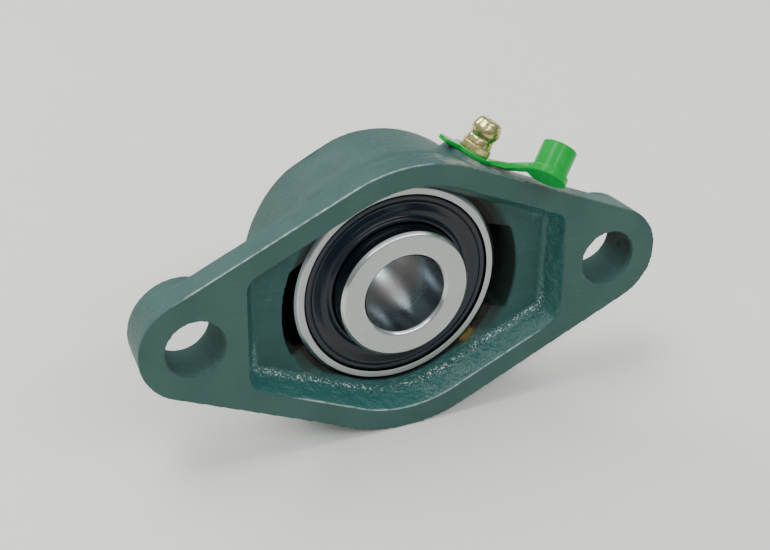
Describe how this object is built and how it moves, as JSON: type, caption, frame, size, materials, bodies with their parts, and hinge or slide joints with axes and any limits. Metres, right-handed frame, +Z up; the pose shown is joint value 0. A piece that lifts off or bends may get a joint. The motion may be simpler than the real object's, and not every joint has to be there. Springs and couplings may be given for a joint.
{
  "type": "two-bolt flange mount bearing",
  "caption": "Rhombus-flanged cast iron housing with a self-aligning ball bearing insert, set screws, a grease nipple and a tethered nipple cap.",
  "frame": {"origin": "middle of the mounting face, on the shaft axis and halfway between the two bolt holes", "axes": "+X along the bolt line, +Y along the shaft axis from the mounting face towards the hub, +Z up, on the grease nipple's side"},
  "size_m": [0.1126, 0.0403, 0.0629],
  "materials": {
    "green_casting": "dark green-grey paint on a sand casting",
    "ring_steel": "ground bearing steel",
    "ball_steel": "polished bearing steel",
    "cage_steel": "pressed sheet steel",
    "seal_rubber": "moulded nitrile rubber",
    "slinger_black": "black finished sheet steel",
    "screw_black": "black oxide",
    "yellow_zinc": "yellow passivated zinc plating",
    "green_plastic": "soft moulded polyethylene"
  },
  "bodies": {
    "housing_unit": {"housing": "green_casting", "grease_nipple": "yellow_zinc", "nipple_spring": "cage_steel"},
    "insert": {"outer_ring": "ring_steel", "seal_front": "seal_rubber", "seal_back": "seal_rubber"},
    "shaft_ring": {"inner_ring": "ring_steel", "slinger_front": "slinger_black", "slinger_back": "slinger_black"},
    "cage": {"cage_front": "cage_steel", "cage_back": "cage_steel", "cage_rivets": "cage_steel"},
    "ball_1": {"ball_1": "ball_steel"},
    "ball_2": {"ball_2": "ball_steel"},
    "ball_3": {"ball_3": "ball_steel"},
    "ball_4": {"ball_4": "ball_steel"},
    "ball_5": {"ball_5": "ball_steel"},
    "ball_6": {"ball_6": "ball_steel"},
    "ball_7": {"ball_7": "ball_steel"},
    "ball_8": {"ball_8": "ball_steel"},
    "set_screw_1": {"set_screw_1": "screw_black"},
    "set_screw_2": {"set_screw_2": "screw_black"},
    "nipple_ball": {"nipple_ball": "ball_steel"},
    "grease_cap": {"grease_cap": "green_plastic"}
  },
  "joints": [
    {"name": "insert_align", "type": "hinge", "parent": "housing_unit", "child": "insert", "pos_m": [0, 0.015, 0], "axis": [1, 0, 0], "range_deg": [-2, 2]},
    {"name": "shaft_spin", "type": "hinge", "parent": "insert", "child": "shaft_ring", "pos_m": [0, 0.015, 0], "axis": [0, 1, 0], "continuous": true},
    {"name": "cage_spin", "type": "hinge", "parent": "insert", "child": "cage", "pos_m": [0, 0.015, 0], "axis": [0, 1, 0], "continuous": true},
    {"name": "ball_1_roll", "type": "hinge", "parent": "cage", "child": "ball_1", "pos_m": [0, 0.015, 0.01675], "axis": [0, 1, 0], "continuous": true},
    {"name": "ball_2_roll", "type": "hinge", "parent": "cage", "child": "ball_2", "pos_m": [0.01184, 0.015, 0.01184], "axis": [0, 1, 0], "continuous": true},
    {"name": "ball_3_roll", "type": "hinge", "parent": "cage", "child": "ball_3", "pos_m": [0.01675, 0.015, 0], "axis": [0, 1, 0], "continuous": true},
    {"name": "ball_4_roll", "type": "hinge", "parent": "cage", "child": "ball_4", "pos_m": [0.01184, 0.015, -0.01184], "axis": [0, 1, 0], "continuous": true},
    {"name": "ball_5_roll", "type": "hinge", "parent": "cage", "child": "ball_5", "pos_m": [0, 0.015, -0.01675], "axis": [0, 1, 0], "continuous": true},
    {"name": "ball_6_roll", "type": "hinge", "parent": "cage", "child": "ball_6", "pos_m": [-0.01184, 0.015, -0.01184], "axis": [0, 1, 0], "continuous": true},
    {"name": "ball_7_roll", "type": "hinge", "parent": "cage", "child": "ball_7", "pos_m": [-0.01675, 0.015, 0], "axis": [0, 1, 0], "continuous": true},
    {"name": "ball_8_roll", "type": "hinge", "parent": "cage", "child": "ball_8", "pos_m": [-0.01184, 0.015, 0.01184], "axis": [0, 1, 0], "continuous": true},
    {"name": "set_screw_1_travel", "type": "slide", "parent": "shaft_ring", "child": "set_screw_1", "axis": [0.342, 0, 0.9397], "range_m": [-0.0004, 0.0026]},
    {"name": "set_screw_2_travel", "type": "slide", "parent": "shaft_ring", "child": "set_screw_2", "axis": [0.6428, 0, -0.766], "range_m": [-0.0004, 0.0026]},
    {"name": "nipple_valve", "type": "slide", "parent": "housing_unit", "child": "nipple_ball", "axis": [-0.5446, 0, -0.8387], "range_m": [0, 0.0008], "stiffness_N_per_m": 400, "springref_m": -0.0015, "deforming": ["nipple_spring"]},
    {"name": "cap_swivel", "type": "hinge", "parent": "housing_unit", "child": "grease_cap", "pos_m": [0.01672, 0.0088, 0.02575], "axis": [0.5446, 0, 0.8387], "range_deg": [-180, 75]}
  ],
  "couplings": [
    {"joint": "cage_spin", "follows": "shaft_spin", "ratio": 0.38152},
    {"joint": "ball_1_roll", "follows": "shaft_spin", "ratio": -1.9916},
    {"joint": "ball_2_roll", "follows": "shaft_spin", "ratio": -1.9916},
    {"joint": "ball_3_roll", "follows": "shaft_spin", "ratio": -1.9916},
    {"joint": "ball_4_roll", "follows": "shaft_spin", "ratio": -1.9916},
    {"joint": "ball_5_roll", "follows": "shaft_spin", "ratio": -1.9916},
    {"joint": "ball_6_roll", "follows": "shaft_spin", "ratio": -1.9916},
    {"joint": "ball_7_roll", "follows": "shaft_spin", "ratio": -1.9916},
    {"joint": "ball_8_roll", "follows": "shaft_spin", "ratio": -1.9916}
  ]
}
